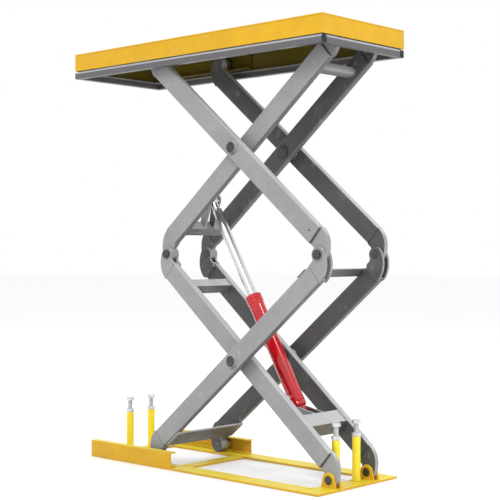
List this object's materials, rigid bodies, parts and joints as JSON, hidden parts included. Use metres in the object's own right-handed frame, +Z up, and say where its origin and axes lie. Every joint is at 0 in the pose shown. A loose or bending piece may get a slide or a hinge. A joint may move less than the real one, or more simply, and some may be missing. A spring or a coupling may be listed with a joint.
{
  "type": "scissor lift table",
  "caption": "Raised double vertical scissor lift table: flat platform with a safety trip frame, two scissor stages, hydraulic cylinder and a roller base frame",
  "frame": {"origin": "on the floor, under the middle of the platform", "axes": "+X along the platform towards the fixed pivots, -Y towards the near long side, +Z up"},
  "size_m": [1.35, 0.482, 1.6847],
  "materials": {
    "base_paint": "semi-gloss yellow paint",
    "platform_paint": "semi-gloss amber yellow paint",
    "arm_paint": "satin grey paint",
    "cylinder_paint": "gloss red paint",
    "pin_steel": "dark oiled steel",
    "zinc_steel": "bright zinc plate",
    "rod_chrome": "ground and polished hard chrome",
    "trip_aluminium": "satin anodised"
  },
  "bodies": {
    "base": {"base_side_bar_near": "base_paint", "base_side_bar_far": "base_paint", "base_left_bar": "base_paint", "base_middle_bar": "base_paint", "base_end_plate": "base_paint", "base_roller_rail_near": "base_paint", "base_roller_rail_far": "base_paint", "base_pivot_pin_near": "pin_steel", "base_pivot_pin_far": "pin_steel", "stop_post_left_near": "base_paint", "stop_post_left_far": "base_paint", "stop_post_right_near": "base_paint", "stop_post_right_far": "base_paint", "stop_bolt_left_near": "zinc_steel", "stop_bolt_left_far": "zinc_steel", "stop_bolt_right_near": "zinc_steel", "stop_bolt_right_far": "zinc_steel"},
    "lower_inner": {"lower_inner_arm_near": "arm_paint", "lower_inner_arm_far": "arm_paint", "cylinder_beam": "arm_paint", "lower_cross_beam": "arm_paint", "cylinder_base_pin": "pin_steel", "lower_centre_pin_near": "pin_steel", "lower_centre_pin_far": "pin_steel", "inner_joint_pin_near": "pin_steel", "inner_joint_pin_far": "pin_steel"},
    "lower_outer": {"lower_outer_arm_near": "arm_paint", "lower_outer_arm_far": "arm_paint", "tie_plate": "arm_paint", "outer_cross_bar": "arm_paint", "outer_joint_pin_near": "pin_steel", "outer_joint_pin_far": "pin_steel"},
    "upper_inner": {"upper_inner_arm_near": "arm_paint", "upper_inner_arm_far": "arm_paint", "rod_beam": "arm_paint", "upper_cross_tube": "arm_paint", "upper_centre_pin_near": "pin_steel", "upper_centre_pin_far": "pin_steel"},
    "upper_outer": {"upper_outer_arm_near": "arm_paint", "upper_outer_arm_far": "arm_paint"},
    "platform": {"platform_deck": "platform_paint", "platform_skirt_near": "platform_paint", "platform_skirt_far": "platform_paint", "platform_skirt_left": "platform_paint", "platform_skirt_right": "platform_paint", "platform_roller_rail_near": "platform_paint", "platform_roller_rail_far": "platform_paint", "platform_pivot_plate": "arm_paint", "platform_pivot_pin_near": "pin_steel", "platform_pivot_pin_far": "pin_steel"},
    "trip_frame": {"trip_bar_near": "trip_aluminium", "trip_bar_far": "trip_aluminium", "trip_bar_left": "trip_aluminium", "trip_bar_right": "trip_aluminium"},
    "barrel": {"cylinder_barrel": "cylinder_paint"},
    "piston_rod_body": {"piston_rod": "rod_chrome"},
    "lower_roller_near_body": {"lower_roller_near": "zinc_steel"},
    "lower_roller_far_body": {"lower_roller_far": "zinc_steel"},
    "upper_roller_near_body": {"upper_roller_near": "zinc_steel"},
    "upper_roller_far_body": {"upper_roller_far": "zinc_steel"}
  },
  "joints": [
    {"name": "lift", "type": "hinge", "parent": "base", "child": "lower_inner", "pos_m": [0.61, 0, 0.0373], "axis": [0, 1, 0], "range_deg": [-39.77, 0]},
    {"name": "lower_scissor", "type": "hinge", "parent": "lower_inner", "child": "lower_outer", "pos_m": [0.19149, 0, 0.44033], "axis": [0, 1, 0], "range_deg": [0, 79.56]},
    {"name": "middle_joint", "type": "hinge", "parent": "lower_inner", "child": "upper_inner", "pos_m": [-0.22703, 0, 0.84335], "axis": [0, 1, 0], "range_deg": [0, 79.56]},
    {"name": "upper_scissor", "type": "hinge", "parent": "upper_inner", "child": "upper_outer", "pos_m": [0.19149, 0, 1.24638], "axis": [0, 1, 0], "range_deg": [-79.56, 0]},
    {"name": "platform_pivot", "type": "hinge", "parent": "upper_inner", "child": "platform", "pos_m": [0.61, 0, 1.64941], "axis": [0, 1, 0], "range_deg": [-39.78, 0]},
    {"name": "cylinder_base", "type": "hinge", "parent": "lower_inner", "child": "barrel", "pos_m": [0.37689, 0, 0.2479], "axis": [0, 1, 0], "range_deg": [-5.34, 0]},
    {"name": "cylinder_stroke", "type": "slide", "parent": "barrel", "child": "piston_rod_body", "axis": [-0.5022, 0, 0.8648], "range_m": [-0.3211, 0]},
    {"name": "trip_press", "type": "slide", "parent": "platform", "child": "trip_frame", "axis": [0, 0, 1], "range_m": [0, 0.0045]},
    {"name": "lower_roll_near", "type": "hinge", "parent": "lower_outer", "child": "lower_roller_near_body", "pos_m": [-0.22703, -0.208, 0.0373], "axis": [0, 1, 0], "continuous": true},
    {"name": "lower_roll_far", "type": "hinge", "parent": "lower_outer", "child": "lower_roller_far_body", "pos_m": [-0.22703, 0.208, 0.0373], "axis": [0, 1, 0], "continuous": true},
    {"name": "upper_roll_near", "type": "hinge", "parent": "upper_outer", "child": "upper_roller_near_body", "pos_m": [-0.22703, -0.208, 1.64941], "axis": [0, 1, 0], "continuous": true},
    {"name": "upper_roll_far", "type": "hinge", "parent": "upper_outer", "child": "upper_roller_far_body", "pos_m": [-0.22703, 0.208, 1.64941], "axis": [0, 1, 0], "continuous": true}
  ],
  "couplings": [
    {"joint": "lower_scissor", "follows": "lift", "ratio": -2},
    {"joint": "middle_joint", "follows": "lift", "ratio": -2},
    {"joint": "upper_scissor", "follows": "lift", "ratio": 2},
    {"joint": "platform_pivot", "follows": "lift", "ratio": 1},
    {"joint": "cylinder_base", "follows": "lift", "ratio": 0.13409},
    {"joint": "cylinder_stroke", "follows": "lift", "m_per_rad": 0.46186}
  ]
}
